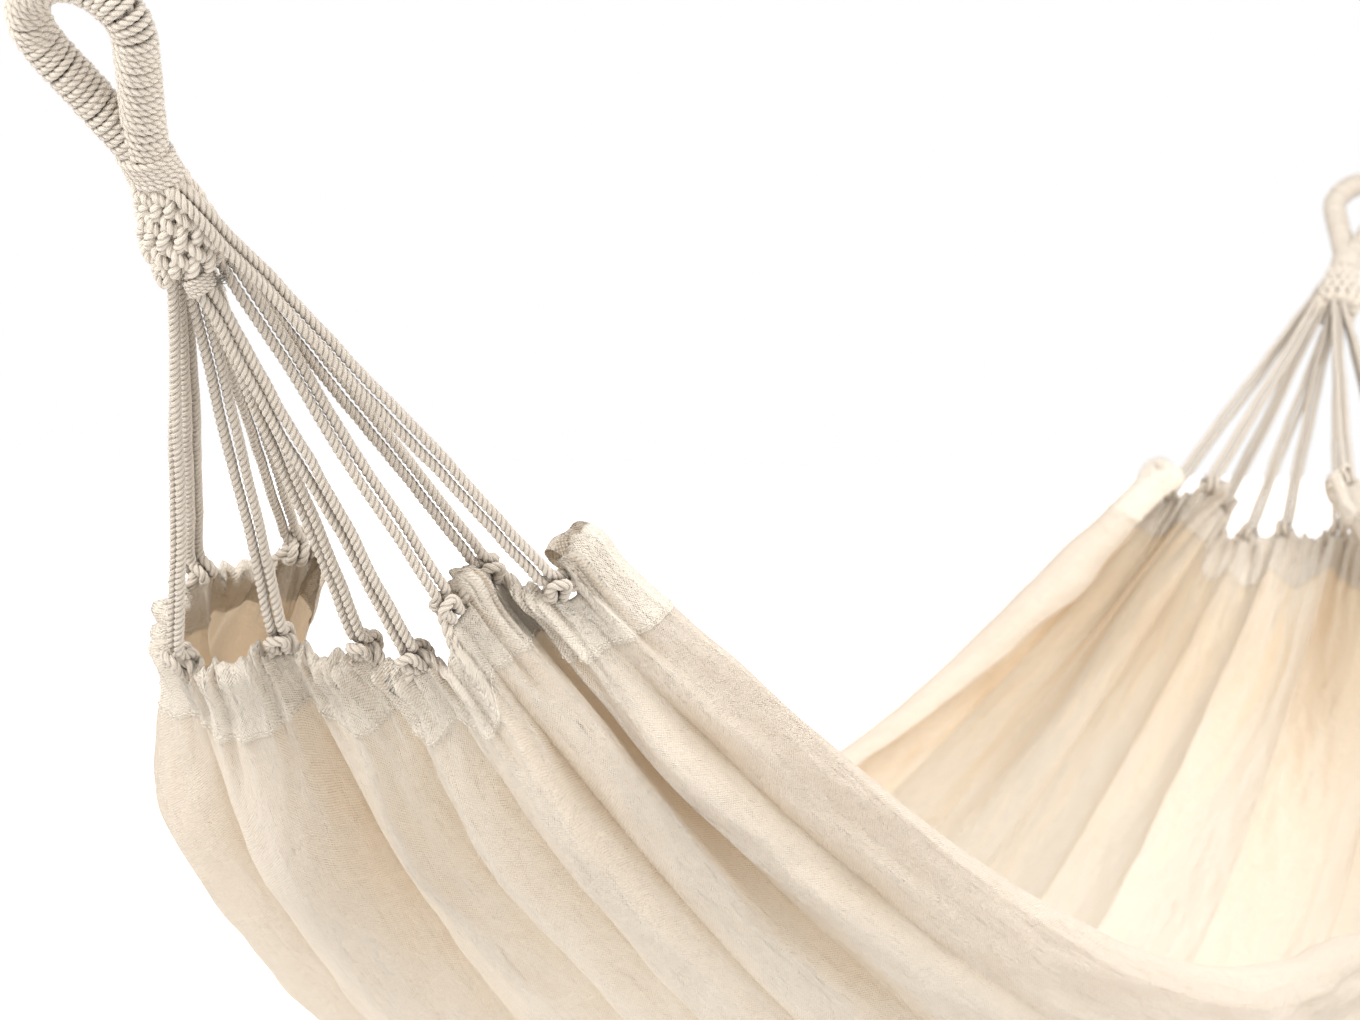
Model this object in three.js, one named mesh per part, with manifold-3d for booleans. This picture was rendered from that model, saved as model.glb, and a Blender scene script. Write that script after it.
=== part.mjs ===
// A rope-hung cloth hammock. Each end of a gathered cloth bed is tied by pairs of cords to a
// braided knot, and each knot carries a cord-wrapped eye that goes over a hook.
//
// Millimetres, +Z up. X runs along the hammock, Y across it, and the origin is under the middle
// of the bed, at the height of its lowest point. The right end is the left end turned half round.

import * as THREE from 'three';
import Module from 'manifold-3d';
import { mergeVertices } from 'three/addons/utils/BufferGeometryUtils.js';

const wasm = await Module();
wasm.setup();

// ---- Driving dimensions -------------------------------------------------------------------

const FAN_SPAN = 2300;        // between the two points that the cords of each end fan out from
const FAN_HEIGHT = 800;       // of those points above the lowest point of the bed
const PULL_ANGLE = THREE.MathUtils.degToRad(41.6);  // of each end's line of pull, from upright
const GAP = 0.35;             // left between pieces that touch
const TRIM = 0.04;            // by which neighbouring cuts and halves run into each other

const CORD_RADIUS = 3.5;
const CORD_SPACING = 7.8;     // between the two cords of one pair, centre to centre
const HEM_ROPE_RADIUS = 4;
const WRAP_GAP = 1;           // slack of each pair where it goes round the hem rope

const EYE_LEG_RADIUS = 13.5;  // over the wrapping
const EYE_CORE_RADIUS = 8.5;
const EYE_BEND_RADIUS = 34;   // of the eye's centre line round its top
const EYE_LENGTH = 95;        // from the neck to the centre of that bend
const NECK_UP = 62;           // neck's place on the line of pull, from the fan point
const NECK_BALL_RADIUS = 13;
const SOCKET_SLACK = 1.4;     // lets the ball's corners turn inside the knot
const SERVING_CUT = 3.5;      // left between the ball and the end of the wrapping
const SEAT_HALF_WIDTH = 7;    // flat inside the top of the eye, where a hook bears
const SEAT_DEPTH = 1.6;

const KNOT_BOTTOM = -20;      // along the line of pull, from the fan point
const KNOT_TOP = 55;
const KNOT_FLATNESS = 0.74;   // thickness over width
const CORD_EXIT = KNOT_BOTTOM - 4;

const BAND_DEPTH = 57;        // from the hem's rim to its seam
const SEAM_GAP = 1.5;         // between the band's lower edge and the bed's own cloth
const BAND_RADIUS = 9;        // of the rolled rim round the hem rope
const BAND_HALF_THICKNESS = 3;
const CLOTH_HALF_THICKNESS = 2.5;
const NOTCH_RADIUS = 18;      // of the notch in the rim that each pair of cords passes through
const NOTCH_DROP = 6;
const STITCH_RADIUS = 1;
const STITCH_INSET = 5;       // of the stitching from the band's lower edge
const RIM_TAPER_DEPTH = 24;   // where the rolled rim has thinned to a flat double layer
const TUNNEL_SLACK = 1.4;     // round the hem rope inside the band
const ROPE_INSET = 6;         // of the hem rope's ends from the band's ends

const MIDDLE_HALF_WIDTH = 410;  // of the bed half way along
const MIDDLE_DEPTH = 260;       // of its edges above its lowest point there
const MIDDLE_ARC = 1.35;        // half the angle of its curved section there, in radians

// Where each pair of cords is tied to the hem: along, across and above, from the fan point.
const HITCHES = [
  [250, 90, -200], [210, 140, -212], [175, 130, -270], [195, 65, -255], [205, 5, -258],
  [195, -40, -263], [190, -65, -230], [230, -72, -208], [242, -116, -218],
].map((place) => new THREE.Vector3(...place));
const FIRST_CORNER = new THREE.Vector3(285, 75, -215);
const LAST_CORNER = new THREE.Vector3(296, -128, -188);

// Where each pair leaves the knot: across it, through it, and the angle of the pair's two cords.
const EXITS = [
  [6, 10, 120], [16, 5, 95], [14, -12, 65], [6, -3, 140], [-2, -5, 135],
  [-4, -13, 135], [-13, 6, 130], [-5, 9, 140], [-15, -9, 100],
];
const BOUND_PAIR = 5;           // place in these tables of the pair with a flat wrap round it
const BINDING_DROP = 25;        // of that wrap below the knot

// ---- Materials ----------------------------------------------------------------------------

const COTTON_CORD = { color: 0xd9cbb8, roughness: 0.9, metalness: 0 };
const COTTON_CLOTH = { color: 0xe8dccb, roughness: 0.95, metalness: 0 };
const COTTON_THREAD = { color: 0xd8c8b0, roughness: 0.85, metalness: 0 };

function piece(name, geometry, look) {
  const mesh = new THREE.Mesh(geometry, new THREE.MeshStandardMaterial(look));
  mesh.name = name;
  return mesh;
}

// ---- Directions of one end, from its fan point --------------------------------------------

const UP_PULL = new THREE.Vector3(-Math.sin(PULL_ANGLE), 0, Math.cos(PULL_ANGLE));
const ACROSS = new THREE.Vector3(0, 1, 0);
const THROUGH = new THREE.Vector3(Math.cos(PULL_ANGLE), 0, Math.sin(PULL_ANGLE));

// A point given by its distances up the line of pull, across it and through it.
function onPull(up, across = 0, through = 0) {
  return new THREE.Vector3()
    .addScaledVector(UP_PULL, up)
    .addScaledVector(ACROSS, across)
    .addScaledVector(THROUGH, through);
}

// Turns a geometry made about +Y so that +Y lies up the line of pull and +X lies across it.
function alongPull(geometry, up) {
  const turn = new THREE.Matrix4().makeBasis(ACROSS, UP_PULL, THROUGH);
  geometry.applyMatrix4(turn);
  const place = onPull(up);
  return geometry.translate(place.x, place.y, place.z);
}

// ---- Closed solids ------------------------------------------------------------------------

function signedVolume(positions, triangles) {
  const corners = [new THREE.Vector3(), new THREE.Vector3(), new THREE.Vector3()];
  let volume = 0;
  for (let i = 0; i < triangles.length; i += 3) {
    corners.forEach((corner, k) => corner.fromArray(positions, triangles[i + k] * 3));
    volume += corners[0].dot(corners[1].clone().cross(corners[2])) / 6;
  }
  return volume;
}

// A closed skin through rings of points, with the same even number of points in each ring.
// Each end is closed by a ladder of triangles between the two halves of its ring.
function loft(rings) {
  const count = rings[0].length;
  const positions = rings.flat().flatMap((point) => point.toArray());
  const triangles = [];
  for (let r = 0; r + 1 < rings.length; r += 1) {
    for (let k = 0; k < count; k += 1) {
      const a = r * count + k;
      const b = r * count + ((k + 1) % count);
      triangles.push(a, b, a + count, b, b + count, a + count);
    }
  }
  const last = (rings.length - 1) * count;
  for (let k = 0; k + 1 < count / 2; k += 1) {
    const [a, b, c, d] = [k, k + 1, count - 2 - k, count - 1 - k];
    triangles.push(a, d, b);
    triangles.push(last + a, last + b, last + d);
    if (b !== c) {
      triangles.push(b, d, c);
      triangles.push(last + b, last + c, last + d);
    }
  }
  if (signedVolume(positions, triangles) < 0) triangles.reverse();
  const geometry = new THREE.BufferGeometry();
  geometry.setAttribute('position', new THREE.Float32BufferAttribute(positions, 3));
  geometry.setIndex(triangles);
  return geometry;
}

// A round bar whose centre line runs straight from point to point.
function bar(points, radius, sides) {
  let side = null;
  const rings = points.map((point, i) => {
    const before = points[Math.max(i - 1, 0)];
    const after = points[Math.min(i + 1, points.length - 1)];
    const ahead = after.clone().sub(before).normalize();
    if (!side) side = Math.abs(ahead.x) < 0.8 ? new THREE.Vector3(1, 0, 0) : ACROSS.clone();
    side.addScaledVector(ahead, -side.dot(ahead)).normalize();
    const other = ahead.clone().cross(side);
    return Array.from({ length: sides }, (_, k) => {
      const angle = (2 * Math.PI * k) / sides;
      return point.clone()
        .addScaledVector(side, radius * Math.cos(angle))
        .addScaledVector(other, radius * Math.sin(angle));
    });
  });
  return loft(rings);
}

function toManifold(geometry) {
  const bare = geometry.clone();
  bare.deleteAttribute('normal');
  bare.deleteAttribute('uv');
  const merged = mergeVertices(bare, 1e-4);
  return new wasm.Manifold(new wasm.Mesh({
    numProp: 3,
    vertProperties: new Float32Array(merged.attributes.position.array),
    triVerts: new Uint32Array(merged.index.array),
  }));
}

function fromManifold(solid) {
  const mesh = solid.getMesh();
  const geometry = new THREE.BufferGeometry();
  geometry.setAttribute('position', new THREE.Float32BufferAttribute(mesh.vertProperties, 3));
  geometry.setIndex(Array.from(mesh.triVerts));
  return geometry;
}

function union(geometries) {
  return geometries.map(toManifold).reduce((sum, solid) => sum.add(solid));
}

// Cuts that meet at a sharp bend can leave a loose speck, which this drops.
function largestBody(solid) {
  return solid.decompose().reduce((best, body) => (body.volume() > best.volume() ? body : best));
}

function ball(place, radius) {
  return new THREE.SphereGeometry(radius, 12, 8).translate(place.x, place.y, place.z);
}

// ---- Eye ----------------------------------------------------------------------------------

// Half of the eye's centre line: straight from the neck, then round to just past the top.
function eyeHalfLine(hand, from) {
  const spread = Math.asin(EYE_BEND_RADIUS / EYE_LENGTH);
  const centre = NECK_UP + EYE_LENGTH;
  const tangent = EYE_LENGTH * Math.cos(spread);
  const bendSteps = 7;
  const line = [from, tangent * 0.5].map((run) => onPull(
    NECK_UP + run * Math.cos(spread), hand * run * Math.sin(spread)));
  for (let i = 0; i <= bendSteps; i += 1) {
    const angle = -spread + (i / bendSteps) * (spread + Math.PI / 2 + TRIM);
    line.push(onPull(
      centre + EYE_BEND_RADIUS * Math.sin(angle), hand * EYE_BEND_RADIUS * Math.cos(angle)));
  }
  return line;
}

function eyeLoop(radius, from, sides) {
  return union([1, -1].map((hand) => bar(eyeHalfLine(hand, from), radius, sides)));
}

function makeEyeCore() {
  return fromManifold(eyeLoop(EYE_CORE_RADIUS, 2, 8)
    .add(toManifold(ball(onPull(NECK_UP), NECK_BALL_RADIUS))));
}

// The wrapping is cut back round the neck, and has a flat inside its top for the hook.
function makeEyeServing() {
  const seatUp = NECK_UP + EYE_LENGTH + EYE_BEND_RADIUS - EYE_LEG_RADIUS + SEAT_DEPTH;
  const flare = 14;
  const outline = new THREE.Shape([
    new THREE.Vector2(-SEAT_HALF_WIDTH, 0),
    new THREE.Vector2(-SEAT_HALF_WIDTH - flare, -flare),
    new THREE.Vector2(SEAT_HALF_WIDTH + flare, -flare),
    new THREE.Vector2(SEAT_HALF_WIDTH, 0),
  ]);
  const reach = 4 * EYE_LEG_RADIUS;
  const seat = new THREE.ExtrudeGeometry(outline, { depth: reach, bevelEnabled: false })
    .translate(0, 0, -reach / 2);
  return fromManifold(eyeLoop(EYE_LEG_RADIUS, 6, 12)
    .subtract(eyeLoop(EYE_CORE_RADIUS + 2 * GAP, 1, 8))
    .subtract(toManifold(ball(onPull(NECK_UP), NECK_BALL_RADIUS + SERVING_CUT)))
    .subtract(toManifold(alongPull(seat, seatUp))));
}

// ---- Knot and neck ------------------------------------------------------------------------

function turned(profile, up) {
  const points = profile.map(([radius, height]) => new THREE.Vector2(radius, height));
  const geometry = new THREE.LatheGeometry(points, 16).scale(1, 1, KNOT_FLATNESS);
  return alongPull(geometry, up);
}

function makeKnot() {
  const profile = [
    [0, KNOT_BOTTOM], [24, KNOT_BOTTOM], [26.5, -8], [26, 6], [21, 28], [17, 42],
    [16, KNOT_TOP], [0, KNOT_TOP],
  ];
  const socket = ball(onPull(NECK_UP), NECK_BALL_RADIUS + SOCKET_SLACK);
  return fromManifold(toManifold(turned(profile, 0)).subtract(toManifold(socket)));
}

function makeNeckSeizing() {
  const inner = 17.6;
  const outer = 21;
  const low = 43;
  const profile = [
    [inner, low], [outer, low + 1], [outer, KNOT_TOP - 2], [inner, KNOT_TOP - 1], [inner, low],
  ];
  return turned(profile, 0);
}

// ---- Hem: where it runs, and how the cloth leaves it -----------------------------------------

const HEM = new THREE.CatmullRomCurve3([FIRST_CORNER, ...HITCHES, LAST_CORNER], false, 'centripetal');

function nearestShare(place) {
  const shares = Array.from({ length: 401 }, (_, i) => i / 400);
  return shares.reduce((best, share) => (
    HEM.getPointAt(share).distanceTo(place) < HEM.getPointAt(best).distanceTo(place)
      ? share : best));
}

const HITCH_SHARES = HITCHES.map(nearestShare);

// Shares of the hem from one corner to the other, with a station on every hitch.
function hemStations(perStretch) {
  const marks = [0, ...HITCH_SHARES, 1];
  const stations = marks.slice(1).flatMap((mark, i) => Array.from(
    { length: perStretch }, (_, k) => marks[i] + ((mark - marks[i]) * k) / perStretch));
  return [...stations, 1];
}

// The hem rope's line: it runs straight through each hitch and curves between them.
function ropeLine(margin) {
  const halfHitch = 9;
  const marks = [0, ...HITCH_SHARES, 1];
  const bends = marks.slice(1).map((mark, i) => HEM.getPointAt((marks[i] + mark) / 2));
  const hitches = HITCH_SHARES.map((share) => [-halfHitch, halfHitch].map(
    (run) => HEM.getPointAt(share).addScaledVector(HEM.getTangentAt(share), run)));
  return [
    HEM.getPointAt(0).addScaledVector(HEM.getTangentAt(0), margin),
    ...bends.flatMap((bend, i) => [bend, ...(hitches[i] ?? [])]),
    HEM.getPointAt(1).addScaledVector(HEM.getTangentAt(1), -margin),
  ];
}

// Where the cloth's lengthwise fibre at this share of the hem crosses the middle of the bed.
function middlePoint(share) {
  const angle = (1 - 2 * share) * MIDDLE_ARC;
  const rise = (1 - Math.cos(angle)) / (1 - Math.cos(MIDDLE_ARC));
  return new THREE.Vector3(
    FAN_SPAN / 2,
    MIDDLE_HALF_WIDTH * Math.sin(angle) / Math.sin(MIDDLE_ARC),
    -FAN_HEIGHT + CLOTH_HALF_THICKNESS + MIDDLE_DEPTH * rise);
}

// A point of the bed: share runs 0 to 1 across it, run is 0 at the hem and 1 at the middle.
// The middle of the hem hangs as a plain curve, and the edges flare more sharply.
function bedPoint(share, run) {
  const hem = HEM.getPointAt(share);
  const middle = middlePoint(share);
  const left = 1 - run;
  const sag = 2 + Math.abs(2 * share - 1);
  return new THREE.Vector3(
    middle.x + (hem.x - middle.x) * left,
    middle.y + (hem.y - middle.y) * left ** 3,
    middle.z + (hem.z - middle.z) * left ** sag);
}

const STEP = 1e-3;

function fallDirection(share) {
  return bedPoint(share, STEP).sub(bedPoint(share, 0)).normalize();
}

function outward(share, run) {
  const across = bedPoint(Math.min(share + STEP, 1), run)
    .sub(bedPoint(Math.max(share - STEP, 0), run));
  const along = bedPoint(share, Math.min(run + STEP, 1))
    .sub(bedPoint(share, Math.max(run - STEP, 0)));
  return along.cross(across).normalize();
}

// How far along the bed's own run a depth below the rim lies.
function runAtDepth(share, depth) {
  const first = bedPoint(share, STEP).distanceTo(bedPoint(share, 0));
  return (depth / first) * STEP;
}

// ---- Cords --------------------------------------------------------------------------------

// The two halves of one cord, each from the knot down and round the hem rope to the cord's middle.
function cordHalves(index) {
  const [across, through, angleDegrees] = EXITS[index];
  const exit = onPull(CORD_EXIT, across, through);
  const hitch = HEM.getPointAt(HITCH_SHARES[index]);
  const toKnot = exit.clone().sub(hitch).normalize();
  const alongRope = HEM.getTangentAt(HITCH_SHARES[index]);
  const upCord = toKnot.clone().addScaledVector(alongRope, -toKnot.dot(alongRope)).normalize();
  const front = alongRope.clone().cross(upCord);
  if (front.dot(outward(HITCH_SHARES[index], 0)) < 0) front.negate();
  const half = CORD_SPACING / 2 / alongRope.clone().cross(toKnot).length();

  const angle = THREE.MathUtils.degToRad(angleDegrees);
  const first = ACROSS.clone().multiplyScalar(Math.cos(angle))
    .addScaledVector(THROUGH, Math.sin(angle));
  let startTurn = Math.atan2(first.dot(front), first.dot(alongRope));
  if (startTurn > Math.PI / 2) startTurn -= Math.PI;
  if (startTurn < -Math.PI / 2) startTurn += Math.PI;

  const wrap = HEM_ROPE_RADIUS + CORD_RADIUS + WRAP_GAP;
  const above = 12;
  const end = hitch.clone().addScaledVector(toKnot, above);
  const legs = [1, -1].map((hand) => {
    const line = [0, 0.2, 0.4, 0.7].map((share) => {
      const eased = THREE.MathUtils.smoothstep(share, 0, 0.5);
      const turn = startTurn * (1 - eased);
      return exit.clone().lerp(end, share)
        .addScaledVector(alongRope, hand * half * Math.cos(turn))
        .addScaledVector(front, hand * half * Math.sin(turn) + wrap * share ** 3);
    });
    for (const turn of [0, 45, 90, 135, 180].map(THREE.MathUtils.degToRad)) {
      line.push(hitch.clone()
        .addScaledVector(alongRope, hand * half)
        .addScaledVector(front, wrap * Math.cos(turn))
        .addScaledVector(upCord, -wrap * Math.sin(turn)));
    }
    return line;
  });
  const bight = hitch.clone().addScaledVector(front, -wrap).addScaledVector(upCord, 7);
  return legs.map((leg) => [...leg, bight]);
}

// One cord doubled over: down from the knot, round the hem rope, and back up beside itself.
function makeCordPair(index) {
  const [first, second] = cordHalves(index);
  return bar([...first, ...second.reverse().slice(1)], CORD_RADIUS, 6);
}

// A short flat wrap that binds one pair just below the knot.
function makeCordBinding(index) {
  const [across, through] = EXITS[index];
  const exit = onPull(CORD_EXIT, across, through);
  const downCord = HITCHES[index].clone().sub(exit).normalize();
  const length = 11;
  const inner = CORD_RADIUS + GAP;
  const thickness = 1.8;
  const sides = 14;
  const slack = 1.04;         // lets the wrap's flat facets clear the round cords
  const oval = (radius) => Array.from({ length: sides }, (_, k) => {
    const turn = (2 * Math.PI * k) / sides;
    return new THREE.Vector2(
      radius * Math.cos(turn) * slack, radius * Math.sin(turn) * slack
      + Math.sign(Math.sin(turn)) * CORD_SPACING / 2);
  });
  const outline = new THREE.Shape(oval(inner + thickness));
  outline.holes.push(new THREE.Path(oval(inner)));
  const sleeve = new THREE.ExtrudeGeometry(outline, { depth: length, bevelEnabled: false });
  const angle = THREE.MathUtils.degToRad(EXITS[index][2]);
  const pairLine = ACROSS.clone().multiplyScalar(Math.cos(angle))
    .addScaledVector(THROUGH, Math.sin(angle));
  pairLine.addScaledVector(downCord, -pairLine.dot(downCord)).normalize();
  const side = pairLine.clone().cross(downCord);
  const place = exit.clone().addScaledVector(downCord, BINDING_DROP);
  sleeve.applyMatrix4(new THREE.Matrix4().makeBasis(side, pairLine, downCord));
  return sleeve.translate(place.x, place.y, place.z);
}

// ---- Hem pieces ---------------------------------------------------------------------------

function makeHemRope() {
  return bar(ropeLine(ROPE_INSET), HEM_ROPE_RADIUS, 6);
}

// A point of the band or cloth: a share of the hem, a depth below its rim and a height off the bed.
function onBed(share, depth, away) {
  const run = runAtDepth(share, depth);
  return bedPoint(share, run).addScaledVector(outward(share, run), away);
}

// The band's outline at one place of the hem: a rolled rim that tapers to a flat double layer.
function bandRing(share) {
  const rollStart = -20;
  const rollStep = 55;
  const rim = HEM.getPointAt(share);
  const out = outward(share, 0);
  const fall = fallDirection(share);
  const rolled = [0, 1, 2, 3, 4].map((k) => {
    const turn = THREE.MathUtils.degToRad(rollStart + k * rollStep);
    return rim.clone()
      .addScaledVector(out, BAND_RADIUS * Math.cos(turn))
      .addScaledVector(fall, -BAND_RADIUS * Math.sin(turn));
  });
  const flat = (side) => [
    onBed(share, BAND_DEPTH, side * BAND_HALF_THICKNESS),
    onBed(share, RIM_TAPER_DEPTH, side * (BAND_HALF_THICKNESS + 1)),
  ];
  return [...flat(1), ...rolled, ...flat(-1).reverse(), onBed(share, BAND_DEPTH, 0)];
}

// The band is cut away round the hem rope, and notched where each pair of cords goes through it.
function makeHemBand() {
  const pastEnds = -10;
  const aboveHitch = 3;       // stations of each cord's line that are clear of the band
  let band = toManifold(loft(hemStations(2).map(bandRing)));
  band = band.subtract(toManifold(bar(ropeLine(pastEnds), HEM_ROPE_RADIUS + TUNNEL_SLACK, 6)));
  HITCHES.forEach((hitch, i) => {
    const share = HITCH_SHARES[i];
    const out = outward(share, 0);
    const fall = fallDirection(share);
    const notch = new THREE.CylinderGeometry(NOTCH_RADIUS, NOTCH_RADIUS, 6 * BAND_RADIUS, 8);
    const turn = new THREE.Quaternion().setFromUnitVectors(new THREE.Vector3(0, 1, 0), out);
    notch.applyQuaternion(turn);
    const place = hitch.clone().addScaledVector(fall, NOTCH_DROP);
    band = band.subtract(toManifold(notch.translate(place.x, place.y, place.z)));
    for (const half of cordHalves(i)) {
      band = band.subtract(toManifold(bar(half.slice(aboveHitch), CORD_RADIUS + 2 * GAP, 6)));
    }
  });
  return fromManifold(largestBody(band));
}

function makeHemStitching() {
  const lift = BAND_HALF_THICKNESS + STITCH_RADIUS + 1;
  const line = hemStations(2).slice(1, -1).map((share) => onBed(share, BAND_DEPTH - STITCH_INSET, lift));
  return bar(line, STITCH_RADIUS, 4);
}

// ---- Bed ----------------------------------------------------------------------------------

// One row across the cloth, as a thin closed ring: its outer face, then its inner face back.
function clothRow(run) {
  const face = (side) => hemStations(2).map((share) => {
    const start = runAtDepth(share, BAND_DEPTH + SEAM_GAP);
    const place = start + (1 - start) * run;
    return bedPoint(share, place)
      .addScaledVector(outward(share, place), side * CLOTH_HALF_THICKNESS);
  });
  return [...face(1), ...face(-1).reverse()];
}

function makeBedCloth() {
  const rowsPerHalf = 10;
  const crowding = 1.3;       // sets the rows closer together near the hem
  const fanPoint = new THREE.Vector3(-FAN_SPAN / 2, 0, FAN_HEIGHT);
  const placedRow = (run) => clothRow(run).map((point) => point.add(fanPoint));
  const leftHalf = Array.from(
    { length: rowsPerHalf }, (_, i) => placedRow((i / rowsPerHalf) ** crowding));
  const middle = placedRow(1);
  middle.forEach((point) => point.setX(0));
  const count = middle.length / 2;
  const rightHalf = leftHalf.map((row) => {
    const turnedRow = row.map((point) => new THREE.Vector3(-point.x, -point.y, point.z));
    const outer = turnedRow.slice(0, count).reverse();
    const inner = turnedRow.slice(count).reverse();
    return [...outer, ...inner];
  }).reverse();
  return loft([...leftHalf, middle, ...rightHalf]);
}

// ---- Assembly -----------------------------------------------------------------------------

function makeEnd(side) {
  const end = new THREE.Group();
  end.add(piece(`${side}_eye_core`, makeEyeCore(), COTTON_CORD));
  end.add(piece(`${side}_eye_serving`, makeEyeServing(), COTTON_CORD));
  end.add(piece(`${side}_neck_seizing`, makeNeckSeizing(), COTTON_CORD));
  end.add(piece(`${side}_knot`, makeKnot(), COTTON_CORD));
  end.add(piece(`${side}_cord_binding`, makeCordBinding(BOUND_PAIR), COTTON_CORD));
  HITCHES.forEach((_, i) => {
    end.add(piece(`${side}_cord_pair_${i + 1}`, makeCordPair(i), COTTON_CORD));
  });
  end.add(piece(`${side}_hem_rope`, makeHemRope(), COTTON_CORD));
  end.add(piece(`${side}_hem_band`, makeHemBand(), COTTON_CLOTH));
  end.add(piece(`${side}_hem_stitching`, makeHemStitching(), COTTON_THREAD));
  return end;
}

const hammock = new THREE.Group();

const leftEnd = makeEnd('left');
leftEnd.position.set(-FAN_SPAN / 2, 0, FAN_HEIGHT);
hammock.add(leftEnd);

const rightEnd = makeEnd('right');
rightEnd.position.set(FAN_SPAN / 2, 0, FAN_HEIGHT);
rightEnd.rotation.z = Math.PI;
hammock.add(rightEnd);

hammock.add(piece('bed_cloth', makeBedCloth(), COTTON_CLOTH));

export default hammock;
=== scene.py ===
"""Looks of a rope-hung cotton cloth hammock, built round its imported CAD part.

Lengths are worked out in millimetres in the part's own frame (+X along the hammock, +Y across it,
+Z up) and turned to metres when a mesh is made. Each end is worked out from its fan point, the
point its cords spread from, and the right end is the left end turned half round about Z.
"""

import math

import bpy
import numpy as np
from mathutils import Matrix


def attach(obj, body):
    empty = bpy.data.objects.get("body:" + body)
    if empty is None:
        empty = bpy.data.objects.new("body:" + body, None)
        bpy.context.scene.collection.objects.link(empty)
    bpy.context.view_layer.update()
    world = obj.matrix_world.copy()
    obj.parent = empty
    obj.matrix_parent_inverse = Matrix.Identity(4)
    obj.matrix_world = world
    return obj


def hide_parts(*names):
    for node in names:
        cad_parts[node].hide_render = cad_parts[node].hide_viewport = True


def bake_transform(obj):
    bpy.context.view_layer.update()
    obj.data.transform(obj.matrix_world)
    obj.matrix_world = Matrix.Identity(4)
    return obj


# ---- Driving dimensions, in millimetres ----

METRES = 0.001

# The two fan points, and the slope of the line that each end is pulled along.
FAN_SPAN = 2300.0
FAN_HEIGHT = 800.0
PULL_ANGLE = math.radians(41.6)
FAN_POINT = np.array([-FAN_SPAN / 2, 0.0, FAN_HEIGHT])
HALF_TURN = np.array([-1.0, -1.0, 1.0])

# Cords: a pitch is the length of one full twist, and the spread is half the gap between two legs.
CORD_RADIUS = 3.6
CORD_PITCH = 15.0
LEG_SPREAD = 3.9
HEM_ROPE_RADIUS = 4.2
HEM_ROPE_PITCH = 24.0

# The eye, from the neck up to the middle of its bend.
EYE_LEG_RADIUS = 13.5
EYE_BEND_RADIUS = 34.0
EYE_LENGTH = 95.0
NECK_UP = 62.0

# The bed: an arc of cloth at its middle, and half its length measured along the cloth.
BAND_DEPTH = 57.0
CLOTH_WIDTH = 1250.0
CASING_WIDTH = 1000.0
HALF_RUN = 1120.0
MIDDLE_HALF_WIDTH = 410.0
MIDDLE_DEPTH = 260.0
MIDDLE_ARC = 1.35
MIDDLE_LIFT = 2.5

# The cut in the casing's rim at each hitch.
NOTCH_HALF = 11.0
NOTCH_DEPTHS = np.array([12.0, 12.0, 22.0, 12.0, 11.0, 11.0, 12.0, 12.0, 13.0])
# How far the casing's rim rises above the hitches' level half way along each panel.
PANEL_RISES = np.array([10.0, -32.0, -14.0, -3.0, -12.0, -10.0, -22.0, 8.0, -8.0, 22.0])

# A long edge's curl: its width, how much longer its cloth is than that, and its turn in radians.
CURL_SLACK = 1.25
FIRST_CURL = (26.0, CURL_SLACK, 2.3)
LAST_CURL = (30.0, 2.2, 2.6)
CURL_FADE = 420.0

# The corners of the hem and the hitches along it, measured from the fan point.
FIRST_CORNER = np.array([285.0, 75.0, -215.0])
HITCHES = np.array([
    [250, 90, -200], [210, 140, -212], [175, 130, -270], [195, 65, -255], [205, 5, -258],
    [195, -40, -263], [190, -65, -230], [230, -72, -208], [242, -116, -218],
], float)
LAST_CORNER = np.array([300.0, -138.0, -188.0])

# Where each pair leaves the knot: up the pull, across it, through it, and the pair's angle.
EXITS = [
    (-18, 6, 10, 120), (-18, 16, 5, 95), (-18, 14, -12, 65), (-18, 6, -3, 140),
    (-18, -2, -5, 135), (-18, -4, -13, 135), (-14, -13, 6, 130), (-2, -14, 9, 140),
    (34, -22, -8, 100),
]
BOUND_PAIR = 5

CLOTH_SEED = 7
PAIR_SEED = 30
KNOT_SEED = 38
BINDING_SEED = 48
EYE_SEED = 60

# ---- Vectors ----

UP_PULL = np.array([-math.sin(PULL_ANGLE), 0.0, math.cos(PULL_ANGLE)])
ACROSS = np.array([0.0, 1.0, 0.0])
THROUGH = np.array([math.cos(PULL_ANGLE), 0.0, math.sin(PULL_ANGLE)])


def unit(vectors):
    return vectors / np.linalg.norm(vectors, axis=-1, keepdims=True)


def smoothstep(value, low, high):
    """0 on the far side of `low`, 1 on the far side of `high`, and a smooth change between."""
    share = np.clip((value - low) / (high - low), 0.0, 1.0)
    return share * share * (3.0 - 2.0 * share)


def on_pull(up, across=0.0, through=0.0):
    """A point given by its distances up the line of pull, across it and through it."""
    up, across, through = np.broadcast_arrays(up, across, through)
    return up[..., None] * UP_PULL + across[..., None] * ACROSS + through[..., None] * THROUGH


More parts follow.
